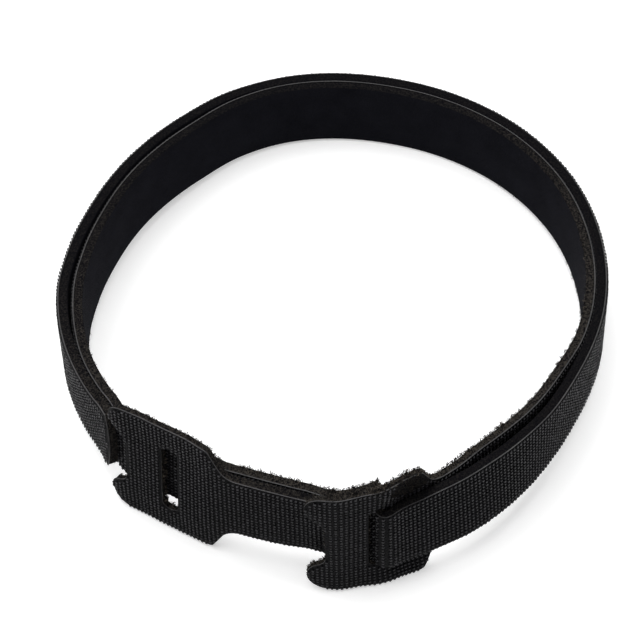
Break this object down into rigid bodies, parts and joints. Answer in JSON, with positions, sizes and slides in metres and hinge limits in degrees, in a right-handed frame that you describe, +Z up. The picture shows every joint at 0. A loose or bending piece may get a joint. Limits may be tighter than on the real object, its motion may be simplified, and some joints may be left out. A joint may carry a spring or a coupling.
{
  "type": "hook and loop cable tie",
  "caption": "Black hook and loop cable ties with slotted, eared heads, one threaded through the other's slot to close a round double loop that stands on edge.",
  "frame": {"origin": "Centre of the bounding box's base, on the surface that the loop stands on", "axes": "+Z is up through the loop's opening; -Y is the side with the two slotted heads; +X is to the right seen from that side"},
  "size_m": [0.0816, 0.0866, 0.0229],
  "materials": {
    "outer_tie_tape": "woven tape with moulded hooks outside and brushed loop pile inside",
    "inner_tie_tape": "woven tape with moulded hooks outside and brushed loop pile inside"
  },
  "bodies": {
    "root": {"outer_tie": "outer_tie_tape", "inner_tie": "inner_tie_tape"}
  },
  "joints": []
}
